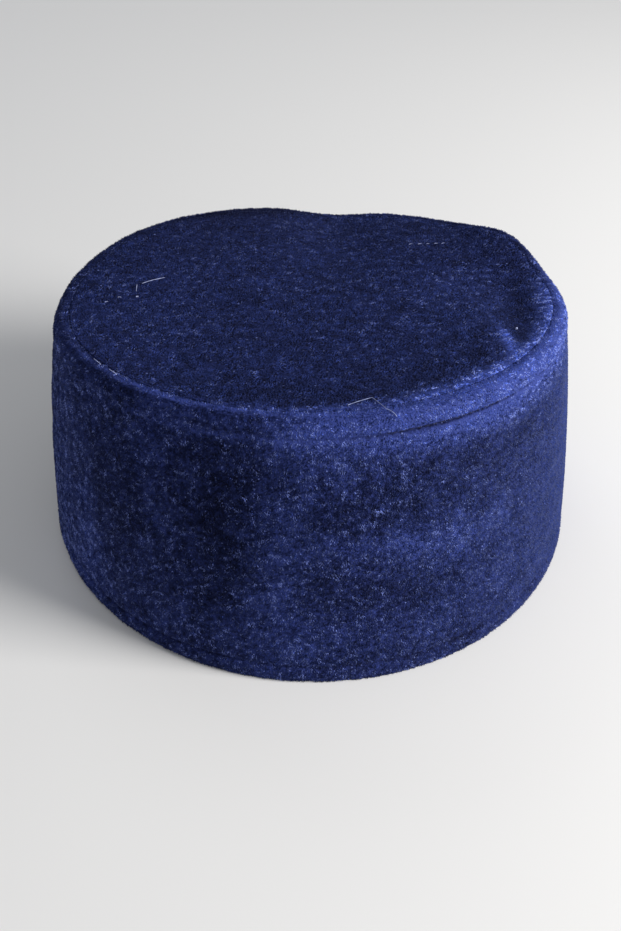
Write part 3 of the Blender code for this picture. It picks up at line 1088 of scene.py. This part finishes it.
def stitch_pattern():
    """One stitch of thread along X, tapered and dipping at its ends."""
    bpy.ops.mesh.primitive_cylinder_add(
        vertices=6, radius=STITCH_RADIUS, depth=STITCH_LENGTH * STITCH_MIDDLE, rotation=(0, math.pi / 2, 0)
    )
    stitch = bpy.context.object
    bpy.ops.object.transform_apply(location=True, rotation=True, scale=True)
    bpy.ops.object.mode_set(mode="EDIT")
    for way in (1, -1):
        bpy.ops.mesh.select_mode(type="FACE")
        bpy.ops.mesh.select_all(action="DESELECT")
        shape = bmesh.from_edit_mesh(stitch.data)
        for face in shape.faces:
            face.select_set(face.normal.x * way > 0.9)
        bmesh.update_edit_mesh(stitch.data)
        reach = way * STITCH_LENGTH
        move = {"value": (reach * STITCH_END, 0, -STITCH_RADIUS)}
        bpy.ops.mesh.extrude_region_move(TRANSFORM_OT_translate=move)
        middle = (reach / 2, 0, -STITCH_RADIUS)
        bpy.ops.transform.resize(value=(STITCH_TAPER,) * 3, center_override=middle)
    bpy.ops.object.mode_set(mode="OBJECT")
    return stitch


def topstitch_height(angle):
    """Height of the topstitching at an angle round the cap."""
    return float(edge_height(angle)) - TOPSTITCH_DROP


def hem_stitch_height(angle):
    """Height of the hem's stitching, which is level."""
    return HEM_STITCH_HEIGHT


def topstitch_slack(angle):
    """How far the topstitching sinks in the pile where it isn't pulled tight."""
    return SLACK_SINK * (1 - float(stitch_pull(angle)))


def hem_stitch_slack(angle):
    """How far the hem's stitching sinks in the pile, the same all round."""
    return SLACK_SINK * HEM_SLACK


def sew(name, band, height_at, slack_at, material):
    """A row of stitches round the wall at a height and slack for each angle, as one piece."""
    tree = BVHTree.FromObject(band, bpy.context.evaluated_depsgraph_get())
    pattern = stitch_pattern()
    count = round(math.pi * sum(HEM_HALF) / STITCH_PITCH)
    stitches = []
    for step in range(count):
        angle = 360 * step / count - 180
        place, normal = surface_hit(tree, angle, height_at(angle))
        ahead, _ = surface_hit(tree, angle + 1, height_at(angle + 1))
        along = (ahead - place).normalized()
        upward = (normal - along * normal.dot(along)).normalized()
        turn = Matrix((along, upward.cross(along), upward)).transposed().to_4x4()
        stitch = pattern.copy()
        stitch.data = pattern.data.copy()
        sunk = place - upward * (STITCH_SINK + slack_at(angle))
        stitch.data.transform(Matrix.Translation(sunk) @ turn)
        bpy.context.scene.collection.objects.link(stitch)
        stitches.append(stitch)
    bpy.data.objects.remove(pattern)
    only(stitches[0])
    for stitch in stitches:
        stitch.select_set(True)
    bpy.ops.object.join()
    piece = bpy.context.object
    piece.name = piece.data.name = name
    piece.data.materials.append(material)
    piece.data.shade_smooth()
    return piece


def lying_tube(name, lines, pieces, material):
    """Fibres that lie on the pile: each line is its points as shares of the top and its radius."""
    reach = bpy.context.evaluated_depsgraph_get()
    trees = [BVHTree.FromObject(piece, reach) for piece in pieces]
    curve = bpy.data.curves.new(name, "CURVE")
    curve.dimensions = "3D"
    curve.bevel_depth = 1.0
    curve.bevel_resolution = 1
    curve.use_fill_caps = True
    for places, radius in lines:
        spline = curve.splines.new("POLY")
        spline.points.add(len(places) - 1)
        for point, (along, across) in zip(spline.points, places):
            start = Vector((TOP_LEAN + along * TOP_HALF[0], across * TOP_HALF[1], SIDE_HEIGHT * 2))
            hits = [tree.ray_cast(start, Vector((0, 0, -1)))[0] for tree in trees]
            height = max(hit.z for hit in hits if hit)
            point.co = (start.x, start.y, height + THREAD_CLEARANCE, 1)
            point.radius = radius
    piece = bpy.data.objects.new(name, curve)
    bpy.context.scene.collection.objects.link(piece)
    only(piece)
    bpy.ops.object.convert(target="MESH")
    piece = bpy.context.object
    piece.data.materials.append(material)
    piece.data.shade_smooth()
    return piece


def bent_line(places, steps):
    """Points along a kinked line, softly bowed between its kinks."""
    line = []
    for (x0, y0), (x1, y1) in zip(places, places[1:]):
        for step in range(steps):
            share = step / steps
            bow = THREAD_BOW * math.sin(math.pi * share)
            line.append((x0 + (x1 - x0) * share, y0 + (y1 - y0) * share + bow))
    return line + [places[-1]]


def fibre(row):
    """The points of a short fibre, slightly bent."""
    turn = math.radians(row.heading)
    ahead = row.length / 2 * math.cos(turn) / TOP_HALF[0]
    aside = row.length / 2 * math.sin(turn) / TOP_HALF[1]
    ends = ((row.along - ahead, row.across - aside), (row.along + ahead, row.across + aside))
    return bent_line(ends, steps=4)


# The scene

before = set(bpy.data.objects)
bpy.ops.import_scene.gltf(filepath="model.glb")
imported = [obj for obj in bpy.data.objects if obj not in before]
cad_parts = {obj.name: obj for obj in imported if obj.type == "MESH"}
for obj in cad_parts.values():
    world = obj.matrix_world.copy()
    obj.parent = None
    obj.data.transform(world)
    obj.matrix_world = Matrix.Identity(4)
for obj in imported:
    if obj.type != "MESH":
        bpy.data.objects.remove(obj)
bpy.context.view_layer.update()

make_camera()
make_studio()

pile = pile_group()
backing = backing_material()
band = make_band(velvet_material("crushed_velvet", pile, PLAIN_GRAIN), backing)
top = make_top(velvet_material("brushed_velvet", pile, DRAWN_GRAIN), backing)
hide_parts("side_band")
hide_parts("top_panel")

yarns = pile_materials()
band_pile = [
    grow_pile(
        band, f"band_pile_{number}", seed=11 + number, flow=(0, 0, -1), over_seam=-1,
        width=PILE_WIDTH, materials=yarns,
    )
    for number in (1, 2, 3)
]
top_pile = grow_pile(
    top, "top_pile", seed=21, flow=(1, 0, 0), over_seam=1, width=TOP_PILE_WIDTH, materials=yarns
)

thread = fibre_material("stitching_thread", (0.009, 0.013, 0.055, 1), roughness=0.9, grain=900.0)
topstitch = sew("topstitching", band, topstitch_height, topstitch_slack, thread)
hem_stitch = sew("hem_stitching", band, hem_stitch_height, hem_stitch_slack, thread)

pale_fibre = fibre_material("pale_fibre", (0.27, 0.32, 0.56, 1), roughness=0.7, grain=600.0)
bright_fibre = fibre_material("bright_fibre", (0.52, 0.58, 0.92, 1), roughness=0.7, grain=600.0)
loose_line = (bent_line(LOOSE_THREAD, steps=5), THREAD_RADIUS)
loose = lying_tube("loose_thread", [loose_line], (band, top), pale_fibre)
lint_lines = [(fibre(row), row.thickness / 2) for row in LINT]
specks = lying_tube("lint", lint_lines, (band, top), bright_fibre)

for piece in (band, top, *band_pile, top_pile, topstitch, hem_stitch, loose, specks):
    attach(piece, "root")
